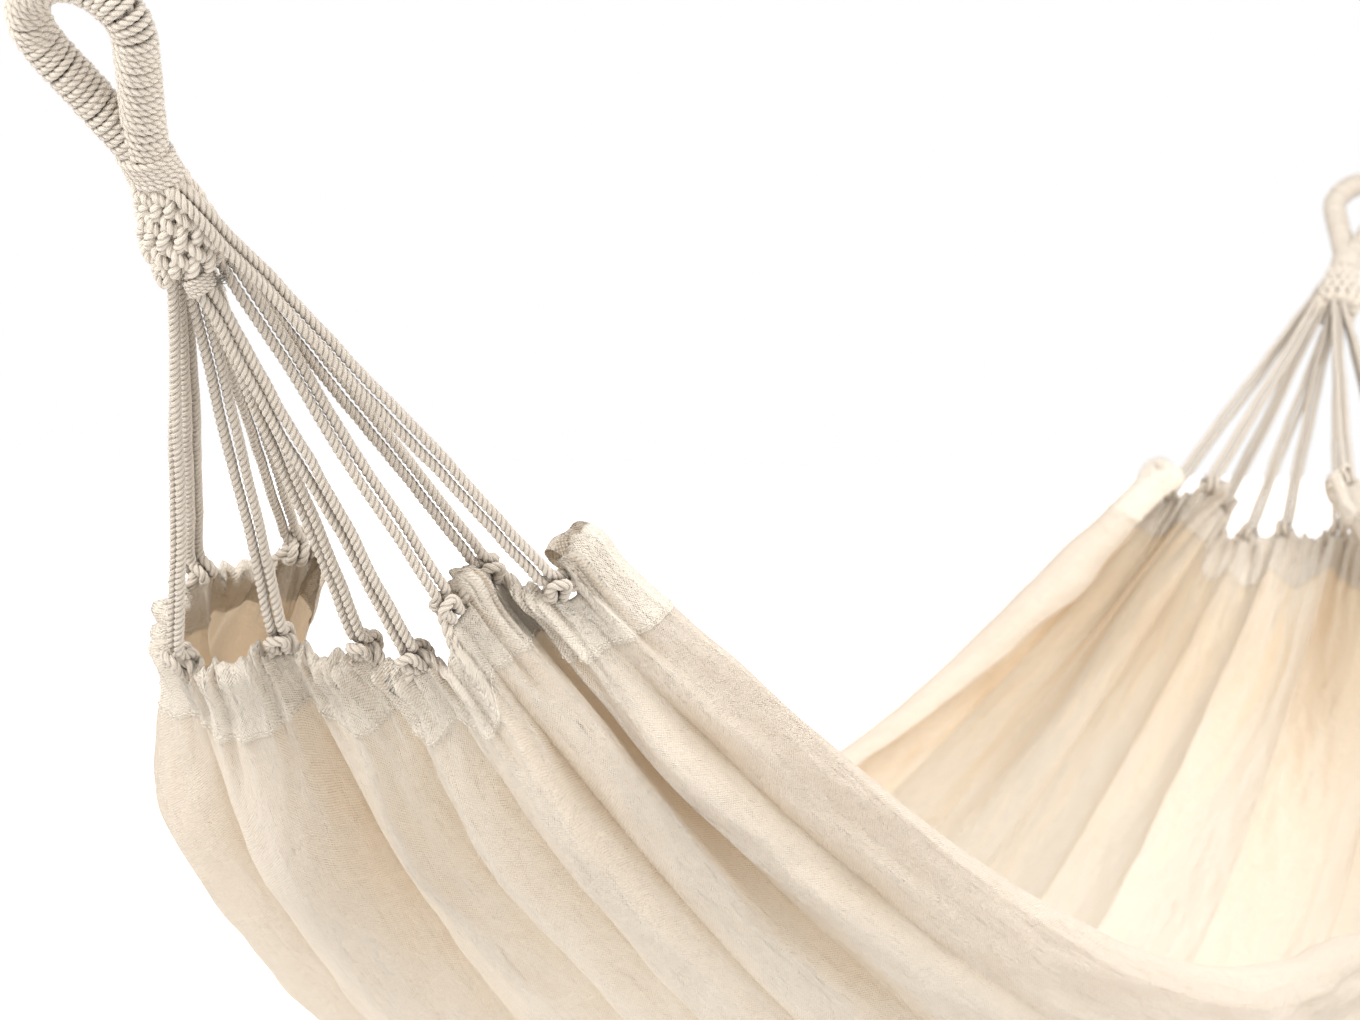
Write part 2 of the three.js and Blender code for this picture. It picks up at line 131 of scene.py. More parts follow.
def spline(points, step, per_span=24):
    """Points about `step` apart on a centripetal Catmull-Rom curve through the given points."""
    points = np.asarray(points, float)
    ends = np.vstack([2 * points[0] - points[1], points, 2 * points[-1] - points[-2]])
    line = []
    for i in range(len(points) - 1):
        p = ends[i:i + 4]
        chords = np.linalg.norm(np.diff(p, axis=0), axis=1)
        knots = np.concatenate([[0.0], np.cumsum(np.sqrt(chords))])
        t = np.linspace(knots[1], knots[2], per_span, endpoint=False)[:, None]
        a = [((knots[k + 1] - t) * p[k] + (t - knots[k]) * p[k + 1]) / (knots[k + 1] - knots[k])
             for k in range(3)]
        b = [((knots[k + 2] - t) * a[k] + (t - knots[k]) * a[k + 1]) / (knots[k + 2] - knots[k])
             for k in range(2)]
        line.append(((knots[2] - t) * b[0] + (t - knots[1]) * b[1]) / (knots[2] - knots[1]))
    return even(np.vstack(line + [points[-1:]]), step)


def lengths(line):
    """How far along the line each of its points is."""
    return np.concatenate([[0.0], np.cumsum(np.linalg.norm(np.diff(line, axis=0), axis=1))])


def on_line(line, run, at):
    """Points or vectors of a line, given at each of its runs, read off at other runs."""
    return np.stack([np.interp(at, run, line[:, k]) for k in range(3)], axis=-1)


def even(line, step):
    """The same line with its points spaced evenly, about `step` apart."""
    run = lengths(line)
    count = max(int(round(run[-1] / step)), 2) + 1
    return on_line(line, run, np.linspace(0.0, run[-1], count))


def full_turn(count):
    """Angles evenly spaced round one turn."""
    return math.tau * np.arange(count) / count


def placed(points, turned):
    """Points of the left end in millimetres, as places in metres at either end."""
    points = points + FAN_POINT
    return (points * HALF_TURN if turned else points) * METRES


# ---- Meshes ----


class Skin:
    """Quads with a position for each point and a UV for each corner, in millimetres."""

    def __init__(self):
        self.points = []
        self.quads = []
        self.corners = []
        self.count = 0

    def add(self, points, u, v, wrap=False, cap=False):
        """A grid of points (rows, columns, 3); wrap joins its last column to its first."""
        rows, columns = points.shape[:2]
        index = np.arange(rows * columns).reshape(rows, columns) + self.count
        if wrap:
            index = np.concatenate([index, index[:, :1]], axis=1)
        u, v = np.broadcast_arrays(u, v)
        uv = np.stack([u, v], axis=-1)
        quads = np.stack([index[:-1, :-1], index[1:, :-1], index[1:, 1:], index[:-1, 1:]], axis=-1)
        corner = np.stack([uv[:-1, :-1], uv[1:, :-1], uv[1:, 1:], uv[:-1, 1:]], axis=-2)
        self.quads.append(quads.reshape(-1, 4))
        self.corners.append(corner.reshape(-1, 2))
        if cap:
            half = columns // 2
            k = np.arange(half - 1)
            ladder = np.stack([k, k + 1, columns - 2 - k, columns - 1 - k], axis=-1)
            ladder = ladder[:-1] if columns % 2 == 0 and half > 1 else ladder
            for row, order in ((0, [0, 1, 2, 3]), (rows - 1, [0, 3, 2, 1])):
                ends = index[row, ladder][:, order]
                self.quads.append(ends)
                self.corners.append(np.zeros((ends.size, 2)))
        self.points.append(points.reshape(-1, 3))
        self.count += rows * columns

    def build(self, name, material, turned=False):
        """One smooth-shaded piece made of everything added so far."""
        points = placed(np.vstack(self.points), turned)
        quads = np.vstack(self.quads)
        corners = np.vstack(self.corners)
        mesh = bpy.data.meshes.new(name)
        mesh.vertices.add(len(points))
        mesh.vertices.foreach_set("co", points.astype(np.float32).ravel())
        mesh.loops.add(quads.size)
        mesh.loops.foreach_set("vertex_index", quads.astype(np.int32).ravel())
        mesh.polygons.add(len(quads))
        mesh.polygons.foreach_set("loop_start", np.arange(0, quads.size, 4, dtype=np.int32))
        mesh.polygons.foreach_set("use_smooth", np.ones(len(quads), bool))
        layer = mesh.uv_layers.new(name="UVMap")
        layer.uv.foreach_set("vector", (corners * METRES).astype(np.float32).ravel())
        mesh.update(calc_edges=True)
        mesh.validate()
        mesh.materials.append(material)
        piece = bpy.data.objects.new(name, mesh)
        bpy.context.scene.collection.objects.link(piece)
        return piece


# How far a strand's middle is from the cord's middle, by the number of strands.
STRAND_REACH = {3: 0.40, 2: 0.36}


def along_frames(line):
    """Two unit vectors square to the line at each point, which turn as little as they can."""
    tangent = unit(np.gradient(line, axis=0))
    side = np.zeros_like(line)
    upright = abs(tangent[0, 2]) >= 0.8
    previous = ACROSS if upright else np.array([0.0, 0.0, 1.0])
    for i, ahead in enumerate(tangent):
        previous = previous - ahead * previous.dot(ahead)
        previous = previous / np.linalg.norm(previous)
        side[i] = previous
    return side, np.cross(tangent, side)


def lobed(angle, strands):
    """Radius of a bundle of soft strands as a share of its largest, at an angle round it."""
    psi = np.mod(angle, math.tau / strands) - math.pi / strands
    reach = STRAND_REACH[strands]
    own = 1.0 - reach
    return reach * np.cos(psi) + np.sqrt(own ** 2 - (reach * np.sin(psi)) ** 2)


def add_cord(skin, line, radius, pitch=CORD_PITCH, sides=20, strands=3, phase=0.0):
    """A twisted cord along a line of evenly spaced points, with rounded ends.

    Its U counts strands, so a whole number falls in each groove, and its V runs along it.
    """
    run = lengths(line)
    side, other = along_frames(line)
    angle = full_turn(sides)
    twist = math.tau * run[:, None] / pitch + phase
    size = radius * lobed(angle[None, :] - twist, strands)
    ends = np.minimum(run, run[-1] - run) / radius
    round_end = np.sqrt(np.clip(1.0 - np.clip(1.0 - ends, 0.0, 1.0) ** 2, 0.04, 1.0))
    size = size * round_end[:, None]
    ring = line[:, None, :] + size[..., None] * (
        np.cos(angle)[None, :, None] * side[:, None, :]
        + np.sin(angle)[None, :, None] * other[:, None, :])
    whole_angle = math.tau * np.arange(sides + 1) / sides
    strand = strands * (whole_angle[None, :] - twist) / math.tau
    skin.add(ring, strand / METRES, run[:, None], wrap=True, cap=True)


def add_core(skin, up, wide, flat, lean=0.0, sides=32):
    """A plain tube round the line of pull, out of sight, that fills the middle of a piece."""
    angle = full_turn(sides)
    wide, lean = (np.broadcast_to(value, up.shape)[:, None] for value in (wide, lean))
    tube = on_pull(up[:, None], wide * np.cos(angle) + lean, wide * flat * np.sin(angle))
    skin.add(tube, np.arange(sides + 1)[None, :] * 3.0, up[:, None], wrap=True, cap=True)


# ---- Hem and bed ----

HEM_LINE = spline(np.vstack([FIRST_CORNER, HITCHES, LAST_CORNER]), 0.5)
HEM_RUN = lengths(HEM_LINE)
HEM_LENGTH = HEM_RUN[-1]
HITCH_RUNS = np.array([
    HEM_RUN[np.argmin(np.linalg.norm(HEM_LINE - hitch, axis=1))] for hitch in HITCHES])
MARKS = np.concatenate([[0.0], HITCH_RUNS, [HEM_LENGTH]])


def hem_point(at):
    """The point of the hem line at a run along it."""
    return on_line(HEM_LINE, HEM_RUN, at)


def hem_tangent(at):
    return unit(hem_point(at + 1.0) - hem_point(at - 1.0))


def middle_point(share):
    """A point of the arc of cloth half way between the two ends."""
    angle = (1.0 - 2.0 * share) * MIDDLE_ARC
    rise = (1.0 - np.cos(angle)) / (1.0 - math.cos(MIDDLE_ARC))
    return np.stack([
        np.full_like(share, FAN_SPAN / 2),
        MIDDLE_HALF_WIDTH * np.sin(angle) / math.sin(MIDDLE_ARC),
        -FAN_HEIGHT + MIDDLE_LIFT + MIDDLE_DEPTH * rise], axis=-1)


def bed_point(share, run, hem):
    """The smooth surface of the bed: share 0 to 1 across it, run 0 at the hem, 1 at the middle."""
    middle = middle_point(share)
    left = 1.0 - run
    sag = 2.0 + np.abs(2.0 * share - 1.0)
    x = middle[..., 0] + (hem[..., 0] - middle[..., 0]) * left
    y = middle[..., 1] + (hem[..., 1] - middle[..., 1]) * np.sign(left) * np.abs(left) ** 3
    z = middle[..., 2] + (hem[..., 2] - middle[..., 2]) * np.sign(left) * np.abs(left) ** sag
    return np.stack([x, y, z], axis=-1)


# ---- Columns of the cloth ----


def cloth_columns(per_panel, crowding):
    """Hem runs of the cloth's columns, closer together near each hitch."""
    runs = []
    for start, end in zip(MARKS[:-1], MARKS[1:]):
        part = np.linspace(0.0, 1.0, per_panel, endpoint=False)
        eased = part - crowding * np.sin(math.tau * part) / math.tau
        runs.append(start + (end - start) * eased)
    return np.concatenate(runs + [[HEM_LENGTH]])


COLUMNS = cloth_columns(66, 0.55)
SHARES = COLUMNS / HEM_LENGTH
LAST_PANEL = len(MARKS) - 2
PANEL = np.clip(np.searchsorted(MARKS, COLUMNS, side="right") - 1, 0, LAST_PANEL)
PANEL_LENGTH = (MARKS[1:] - MARKS[:-1])[PANEL]
PANEL_PART = (COLUMNS - MARKS[PANEL]) / PANEL_LENGTH
TO_HITCHES = np.abs(COLUMNS[:, None] - HITCH_RUNS[None, :])
NEAREST = np.argmin(TO_HITCHES, axis=1)
TO_HITCH = np.min(TO_HITCHES, axis=1)


def smoothed(values, window):
    """Values over the hem's columns, averaged over a bell about `window` millimetres wide."""
    weight = np.exp(-0.5 * ((COLUMNS[:, None] - COLUMNS[None, :]) / window) ** 2)
    weight = weight * np.gradient(COLUMNS)[None, :]
    weight = weight / weight.sum(axis=1, keepdims=True)
    return weight @ values


def away_from_bed(grid, window):
    """Unit vectors out of the bed's underside, smoothed across the columns."""
    along = np.gradient(grid, axis=0)
    across = np.gradient(grid, COLUMNS, axis=1)
    out = unit(np.cross(along, across))
    return unit(np.stack([smoothed(row, window) for row in out]))


def bulge(part, sharp):
    """0 at a panel's two ends and 1 half way, with its steepest parts at the ends."""
    return 1.0 - np.abs(2.0 * part - 1.0) ** sharp


def make_bed_grid(depths):
    """Points of one half of the bed at depths below the hem line (rows) and hem columns."""
    hem = hem_point(COLUMNS)
    step = 1e-3
    nudged = bed_point(SHARES, np.full_like(SHARES, step), hem)
    first = np.linalg.norm(nudged - bed_point(SHARES, 0 * SHARES, hem), axis=1)
    depth = depths[:, None]
    # Near the hem a row is at a true depth; further on the rows share out the run evenly.
    run_near = depth / first[None, :] * step
    mix = smoothstep(depth, 150.0, 900.0)
    run = run_near * (1 - mix) + depth / HALF_RUN * mix
    run = np.where(depth >= HALF_RUN, 1.0, run)
    share = np.broadcast_to(SHARES, run.shape)
    return bed_point(share, run, np.broadcast_to(hem, run.shape + (3,)))


# Main folds, one to a panel: their height at the hem, what they gain below it, and at the middle.
FOLD_AT_HEM = 10.0
FOLD_GAIN = 36.0
FOLD_AT_MIDDLE = 5.0
USUAL_PANEL = 62.0
RIPPLE_COUNTS = (2, 3, 5)
RIPPLE_HEIGHT = 7.0


def fold_height(depths, random):
    """How far the cloth stands off the smooth bed, for depths (rows) and hem columns."""
    depth = depths[:, None]
    part = PANEL_PART[None, :]
    inner = ((PANEL > 0) & (PANEL < LAST_PANEL))[None, :]
    grow = smoothstep(depth, -10.0, 190.0)
    fade = np.exp(-np.clip(depth - 200.0, 0, None) / 380.0)
    middle = smoothstep(depth, 500.0, HALF_RUN - 20.0)
    scale = np.clip(PANEL_LENGTH[None, :] / USUAL_PANEL, 0.6, 1.6)
    amplitude = scale * (FOLD_AT_HEM + FOLD_GAIN * grow) * fade + FOLD_AT_MIDDLE * middle
    height = amplitude * bulge(part, 1.95 + 0.8 * middle) * np.where(inner, 1.0, 0.5)
    # Softer folds inside each panel start under the band and die away.
    ripple = np.zeros_like(height)
    for panel in range(len(MARKS) - 1):
        here = (PANEL == panel)[None, :]
        for count in RIPPLE_COUNTS:
            phase = random.uniform(-0.8, 0.8)
            size = random.uniform(0.5, 1.0) * RIPPLE_HEIGHT / count
            start = random.uniform(5.0, 40.0)
            end = random.uniform(300.0, 700.0) / count
            life = smoothstep(depth, start, start + 60.0) * np.exp(-depth / (2.2 * end))
            drift = 0.5 * np.sin(depth / (90.0 + 30.0 * count) + phase * 3)
            wave = np.sin(math.tau * count * part + phase + drift)
            wave = wave * np.sin(math.pi * part) ** 0.7
            ripple += np.where(here, size * life * wave, 0.0)
    return height + ripple


# Pleats beside a hitch: the height of a fine and a coarse set, and the depths they die away over.
FINE_PLEAT = 5.0
FINE_PLEAT_DEPTH = 24.0
COARSE_PLEAT = 5.4
COARSE_PLEAT_DEPTH = 70.0
COARSE_TO_FINE = 2.1


def gathers(depths, random):
    """The tight pleats on either side of each hitch."""
    depth = depths[:, None]
    below = np.clip(depth, 0, None)
    height = np.zeros((len(depths), len(COLUMNS)))
    for i, hitch in enumerate(HITCH_RUNS):
        for hand in (-1, 1):
            offset = hand * (COLUMNS - hitch)
            near = (offset >= 0) & (TO_HITCHES[:, i] == TO_HITCH)
            phase = random.uniform(0, math.tau)
            pitch = random.uniform(5.4, 6.6)
            reach = random.uniform(24.0, 36.0)
            bend = random.uniform(-0.06, 0.06)
            away = offset[None, :] + bend * depth
            band = smoothstep(away, 6.0, 11.0) * (1 - smoothstep(away, reach - 8.0, reach + 6.0))
            turn = math.tau * away / pitch
            fine = FINE_PLEAT * np.sin(turn + phase)
            coarse = COARSE_PLEAT * np.sin(turn / COARSE_TO_FINE + phase)
            pleat = fine * np.exp(-(below / FINE_PLEAT_DEPTH) ** 2)
            pleat = pleat + coarse * np.exp(-(below / COARSE_PLEAT_DEPTH) ** 2)
            height += np.where(near[None, :], band * pleat, 0.0)
    return height


WRINKLE_COUNT = 26
WRINKLE_STEEPNESS = 0.012


def wrinkles(depths, random):
    """Small uneven creases over the whole cloth, longer along it than across it."""
    depth = depths[:, None]
    across = (SHARES * CLOTH_WIDTH)[None, :]
    height = np.zeros((len(depths), len(COLUMNS)))
    for _ in range(WRINKLE_COUNT):
        wide = random.uniform(22.0, 90.0)
        long = wide * random.uniform(2.0, 6.0)
        tilt = random.uniform(-0.25, 0.25)
        phase = random.uniform(0, math.tau, 2)
        size = WRINKLE_STEEPNESS * wide * random.uniform(0.4, 1.0)
        wave = np.sin(math.tau * (across + tilt * depth) / wide + phase[0])
        height += size * wave * np.sin(math.tau * depth / long + phase[1])
    return height * smoothstep(depth, -5.0, 80.0)


def row_depths(top, fine_to=110.0, fine_step=2.0, rest_rows=150):
    """Depths of the cloth's rows: close together under the hem, wider apart further on."""
    fine = np.arange(top, fine_to, fine_step)
    rest = fine_to + (HALF_RUN - fine_to) * np.linspace(0.0, 1.0, rest_rows) ** 1.25
    return np.concatenate([fine, rest])


def curled(surface, out, depths):
    """The cloth with its two long edges rolled inwards, most loosely at the hem's last corner."""
    surface = surface.copy()
    rows = np.arange(len(surface))
    fade = np.exp(-np.clip(depths, 0.0, None) / CURL_FADE)
    first_root = np.argmax(COLUMNS >= FIRST_CURL[0])
    last_root = np.argmax(COLUMNS >= HEM_LENGTH - LAST_CURL[0])
    edge = len(COLUMNS) - 1
    for end, root_column, span, (_, slack, angle) in (
        (0, first_root, range(0, first_root), FIRST_CURL),
        (edge, last_root, range(last_root + 1, edge + 1), LAST_CURL),
    ):
        root = surface[:, root_column]
        toward = surface[:, end] - root
        width = np.linalg.norm(toward, axis=-1)
        toward = toward / width[:, None]
        away = out[:, root_column]
        away = unit(away - toward * np.sum(away * toward, axis=-1, keepdims=True))
        radius = width * (CURL_SLACK + (slack - CURL_SLACK) * fade) / angle
        for column in span:
            part = np.linalg.norm(surface[rows, column] - root, axis=-1) / width
            turn = angle * np.clip(part, 0.0, 1.0)
            flat = (radius * np.sin(turn))[:, None] * toward
            sink = (radius * (1 - np.cos(turn)))[:, None] * away
            surface[:, column] = root + flat - sink
    return surface


def cloth_surface(depths, seed):
    """The folded mid surface of one half, and the unit vectors out of its underside."""
    random = np.random.default_rng(seed)
    smooth = make_bed_grid(depths)
    out = away_from_bed(smooth, 16.0)
    height = fold_height(depths, random) + gathers(depths, random) + wrinkles(depths, random)
    surface = smooth + height[..., None] * out
    return curled(surface, out, depths), out


BED_DEPTHS = row_depths(-24.0)
SURFACE, OUT = cloth_surface(BED_DEPTHS, CLOTH_SEED)


def surface_at(depth):
    """The folded mid surface and its outward vectors at one depth for each column."""
    depth = np.broadcast_to(depth, COLUMNS.shape)
    place = np.interp(depth, BED_DEPTHS, np.arange(len(BED_DEPTHS)))
    low = np.clip(np.floor(place).astype(int), 0, len(BED_DEPTHS) - 2)
    part = (place - low)[:, None]
    column = np.arange(len(COLUMNS))
    point = SURFACE[low, column] * (1 - part) + SURFACE[low + 1, column] * part
    out = OUT[low, column] * (1 - part) + OUT[low + 1, column] * part
    return point, unit(out)


# ---- Bed cloth ----


# How far the bed laps up behind the casing's seam, and the depth from which its halves merge.
SEAM_LAP = 3.0
JOIN_FROM = 820.0


def make_bed_cloth(material):
    """The whole bed: both ends' folded halves, each fading into the other about the middle."""
    start = np.argmax(BED_DEPTHS >= BAND_DEPTH - SEAM_LAP)
    half = SURFACE[start:]
    depths = BED_DEPTHS[start:]
    other = half[::-1, ::-1].copy()
    other[..., 0] = FAN_SPAN - other[..., 0]
    other[..., 1] = -other[..., 1]
    joint = (half[-1] + other[0]) / 2
    blend = smoothstep(depths, JOIN_FROM, HALF_RUN)[:, None, None]
    half = half + blend * (joint - half[-1])[None]
    other = other + blend[::-1] * (joint - other[0])[None]
    whole = np.concatenate([half, other[1:]])
    full_depth = np.concatenate([depths, 2 * depths[-1] - depths[::-1][1:]])
    skin = Skin()
    skin.add(whole, (SHARES * CLOTH_WIDTH)[None, :], full_depth[:, None])
    piece = skin.build("bed_cloth_folded", material)
    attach(piece, "bed")
    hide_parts("bed_cloth")


def panel_rise():
    """How far each column's rim stands above the hitches' level; the two ends stay lifted."""
    profile = np.sin(math.pi * PANEL_PART)
    for panel, to_edge in ((0, 1.0 - PANEL_PART), (LAST_PANEL, PANEL_PART)):
        profile = np.where(PANEL == panel, np.sin(0.5 * math.pi * to_edge + 0.35), profile)
    return PANEL_RISES[PANEL] * profile * smoothstep(TO_HITCH, 2.0, 14.0)


def rim_depth():
    """Depth of the casing's top edge for each column: in scallops, and cut at each hitch."""
    lip = smoothstep(TO_HITCH, NOTCH_HALF - 3.0, NOTCH_HALF + 2.0)
    deep = NOTCH_DEPTHS[NEAREST]
    cut = deep - (deep - 9.0) * np.clip(TO_HITCH / (NOTCH_HALF - 2.0), 0, 1)
    return cut * (1 - lip) + (-4.0 - panel_rise()) * lip


# Half thickness of the casing: its rim at a hitch, what that gains elsewhere, and its walls.
RIM_AT_HITCH = 2.4
RIM_GAIN = 3.6
CLOTH_HALF_THICKNESS = 0.9
# What the seam's bead and the rope inside add to it.
SEAM_BEAD = 0.9
ROPE_SWELL = 1.6
CASING_ROWS = 34
RIM_ROWS = 9


def casing_fatness():
    """Half thickness of the casing's rolled rim for each column, thinner beside each hitch."""
    return RIM_AT_HITCH + RIM_GAIN * smoothstep(TO_HITCH, NOTCH_HALF, NOTCH_HALF + 9.0)


def seam_depth():
    """Depth of the casing's seam for each column, lower where the rim hangs lower."""
    return BAND_DEPTH - np.minimum(panel_rise(), 0.0)


def casing_wall(hand, top, fat):
    """Rows of one wall of the casing from its seam up to its rim, `hand` being its side."""
    seam = seam_depth()
    rows = []
    for share in np.linspace(0.0, 1.0, CASING_ROWS):
        depth = seam * (1 - share) + (top + fat) * share
        point, out = surface_at(depth)
        below = depth - top - fat
        bead = SEAM_BEAD * np.exp(-((depth - seam + 5.0) / 1.6) ** 2)
        swell = ROPE_SWELL * np.exp(-((below - 5.0) / 7.0) ** 2) * (TO_HITCH > NOTCH_HALF)
        taper = 1 - smoothstep(below, 6.0, 34.0)
        thick = CLOTH_HALF_THICKNESS + (fat - CLOTH_HALF_THICKNESS) * taper + bead + swell
        if share == 1.0:
            thick = fat
        rows.append(point + hand * thick[:, None] * out)
    return rows


def casing_rim(top, fat):
    """Rows over the casing's rolled rim, from its outer wall to its inner one."""
    point, out = surface_at(top + fat)
    higher, _ = surface_at(top + fat - 4.0)
    rise = unit(higher - point)
    turns = math.pi * np.arange(1, RIM_ROWS) / RIM_ROWS
    return [point + fat[:, None] * (math.cos(turn) * out + math.sin(turn) * rise) for turn in turns]


def make_hem_band(side, material, turned):
    """The doubled cloth round the hem rope, from its seam over its rim and down inside."""
    rough = 1.5 * np.sin(COLUMNS / 4.3 + 1.0) + 1.3 * np.sin(COLUMNS / 1.7)
    top = rim_depth() + rough * smoothstep(TO_HITCH, 8.0, 16.0)
    fat = casing_fatness()
    outer = casing_wall(1.0, top, fat)
    inner = casing_wall(-1.0, top, fat)
    # The rows run from the inner seam to the outer one, so that the faces' fronts look outwards.
    grid = np.stack(inner + casing_rim(top, fat)[::-1] + outer[::-1])
    around = np.linspace(0.0, 2 * BAND_DEPTH + 20.0, len(grid))
    skin = Skin()
    skin.add(grid, (SHARES * CASING_WIDTH)[None, :], around[:, None])
    piece = skin.build(f"{side}_hem_casing", material, turned)
    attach(piece, "bed")
    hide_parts(f"{side}_hem_band")


STITCH_PITCH = 4.2
STITCH_LENGTH = 3.0
THREAD_RADIUS = 0.5


def make_hem_stitching(side, material, turned):
    """Short stitches along the seam on the outside of the band."""
    point, out = surface_at(seam_depth() - 4.0)
    line = point + 2.0 * out
    run = lengths(line)
    arch = 0.35 - 0.9 * np.abs(np.linspace(-1, 1, 7)) ** 3
    skin = Skin()
    for start in np.arange(2.0, run[-1] - STITCH_LENGTH - 2.0, STITCH_PITCH):
        at = np.linspace(start, start + STITCH_LENGTH, len(arch))
        stitch = on_line(line, run, at) + arch[:, None] * on_line(out, run, at)
        add_cord(skin, stitch, THREAD_RADIUS, pitch=3.0, sides=6, strands=2)
    piece = skin.build(f"{side}_hem_stitches", material, turned)
    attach(piece, "bed")
    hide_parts(f"{side}_hem_stitching")


# ---- Cords ----


def make_hem_rope(side, material, turned):
    """The rope through the casing, which comes out of it at each hitch."""
    inside, _ = surface_at(rim_depth() + casing_fatness() + 4.0)
    inside = smoothed(inside, 4.0)
    hidden = smoothstep(TO_HITCH, 4.0, 14.0)[:, None]
    line = hem_point(COLUMNS) * (1 - hidden) + inside * hidden
    end = 5.0
    line = even(line[(COLUMNS > end) & (COLUMNS < HEM_LENGTH - end)], 1.6)
    skin = Skin()
    add_cord(skin, line, HEM_ROPE_RADIUS, pitch=HEM_ROPE_PITCH)
    piece = skin.build(f"{side}_hem_cord", material, turned)
    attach(piece, "bed")
    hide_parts(f"{side}_hem_rope")


# A lark's head hitch, from the leg in front over and under the hem rope to the bight: distances
# along the rope, up the cords and out of the bed.
HITCH_TURNS = (
    (3.9, 7.9, 1.4), (3.9, 5.6, -5.7), (3.9, -0.8, -7.9), (4.1, -6.9, -3.8),
    (3.9, -6.9, 3.8), (4.1, -0.8, 7.9), (5.6, 3.8, 9.6), (4.4, 7.6, 11.0),
)
BIGHT_UP = 8.3
BIGHT_OUT = 12.1
LEG_STOPS = (0.0, 0.12, 0.3, 0.55, 0.8)
# Inside the knot a pair starts this far above the place it leaves at, but not above the top.
START_RISE = 24.0
START_TOP = 46.0


def pair_frame(index):
    """Hitch point, the place it leaves the knot, and unit vectors along the hem rope, up the
    cords and out of the bed there, and from the hitch to that place."""
    at = HITCH_RUNS[index]
    hitch = hem_point(at)
    along = hem_tangent(at)
    leave = on_pull(*EXITS[index][:3])
    to_knot = unit(leave - hitch)
    up_cord = unit(to_knot - along * to_knot.dot(along))
    front = np.cross(along, up_cord)
    column = np.argmin(np.abs(COLUMNS - at))
    row = np.argmin(np.abs(BED_DEPTHS))
    if front.dot(OUT[row, column]) < 0:
        front = -front
    return hitch, leave, along, up_cord, front, to_knot


def pair_line(index, random):
    """The whole line of one pair, hitched by its middle to the hem rope, and its legs' length."""
    hitch, leave, along, up_cord, front, to_knot = pair_frame(index)
    start_up, start_across, start_through, degrees = EXITS[index]
    start = on_pull(min(start_up + START_RISE, START_TOP), start_across * 0.55, start_through * 0.55)
    angle = math.radians(degrees)
    first = ACROSS * math.cos(angle) + THROUGH * math.sin(angle)
    if first.dot(along) < 0:
        first = -first
    bundle = unit(first - to_knot * first.dot(to_knot))
    low = unit(along - to_knot * along.dot(to_knot))
    halves = []
    for hand in (-1.0, 1.0):
        slack = 1.0 + 0.012 * random.uniform(-1, 1)
        points = [start + hand * CORD_RADIUS * bundle]
        for share in LEG_STOPS:
            turn = smoothstep(share, 0.05, 0.7)
            spread = (3.75 + 0.2 * share) * slack * unit(bundle * (1 - turn) + low * turn)
            points.append(
                leave + (hitch - leave) * share + hand * spread + 4.9 * share ** 3 * front)
        for up_mm, out_mm in ((26.0, 4.9), (13.0, 4.6)):
            points.append(hitch + hand * LEG_SPREAD * low + up_mm * to_knot + out_mm * front)
        for along_mm, up_mm, out_mm in HITCH_TURNS:
            points.append(hitch + hand * along_mm * along + up_mm * up_cord + out_mm * front)
        halves.append(points)
    bight = hitch + BIGHT_UP * up_cord + BIGHT_OUT * front
    line = spline(halves[0] + [bight] + halves[1][::-1], 1.7)
    return line, np.linalg.norm(leave - hitch)


def sway_free_ends(line, leg, random):
    """The two legs sway slightly; the hitch between them stays as it is."""
    run = lengths(line)
    from_end = run[-1] - run
    fade = sum(smoothstep(away, 10.0, 60.0) * (1 - smoothstep(away, leg - 40.0, leg))
               for away in (run, from_end))
    sway = np.zeros_like(line)
    for direction in (ACROSS, THROUGH):
        for wavelength, amount in ((150.0, 0.7), (61.0, 0.35), (29.0, 0.12)):
            phase = random.uniform(0, math.tau)
            wave = np.sin(math.tau * np.minimum(run, from_end) / wavelength + phase)
            other = np.sin(math.tau * run / (wavelength * 1.13) + phase)
            sway += (amount * fade * (0.6 * wave + 0.4 * other))[:, None] * direction
    return line + sway


def make_cord_pairs(side, material, turned):
    """Each pair of legs, as the one cord that it really is."""
    random = np.random.default_rng(PAIR_SEED)
    for index in range(len(HITCHES)):
        line, leg = pair_line(index, random)
        line = even(sway_free_ends(line, leg, random), 1.15)
        skin = Skin()
        add_cord(skin, line, CORD_RADIUS, phase=random.uniform(0, 2))
        piece = skin.build(f"{side}_pair_{index + 1}", material, turned)
        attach(piece, "bed")
        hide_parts(f"{side}_cord_pair_{index + 1}")


# ---- Knot, binding, neck and eye ----

# The knot's half width at heights on the line of pull; through the pull it is flatter.
KNOT_PROFILE_UP = [-24.0, -16.0, -6.0, 6.0, 20.0, 34.0, 46.0, 56.0]
KNOT_PROFILE_WIDE = [20.5, 24.0, 26.0, 25.5, 22.5, 19.0, 16.8, 15.4]
KNOT_FLATNESS = 0.76
BRAID_CORDS = 12
BRAID_SLANT = math.radians(29.0)
BRAID_CORD_RADIUS = 4.0
KNOT_LEAN = 6.0
KNOT_BOTTOM = -16.0
KNOT_TOP = 50.0
LOOP_CORD_RADIUS = 3.4


def knot_lean(up):
    """How far the knot's middle has moved over toward +Y at a height on the line of pull."""
    return KNOT_LEAN * (1.0 - smoothstep(up, KNOT_BOTTOM, 40.0))


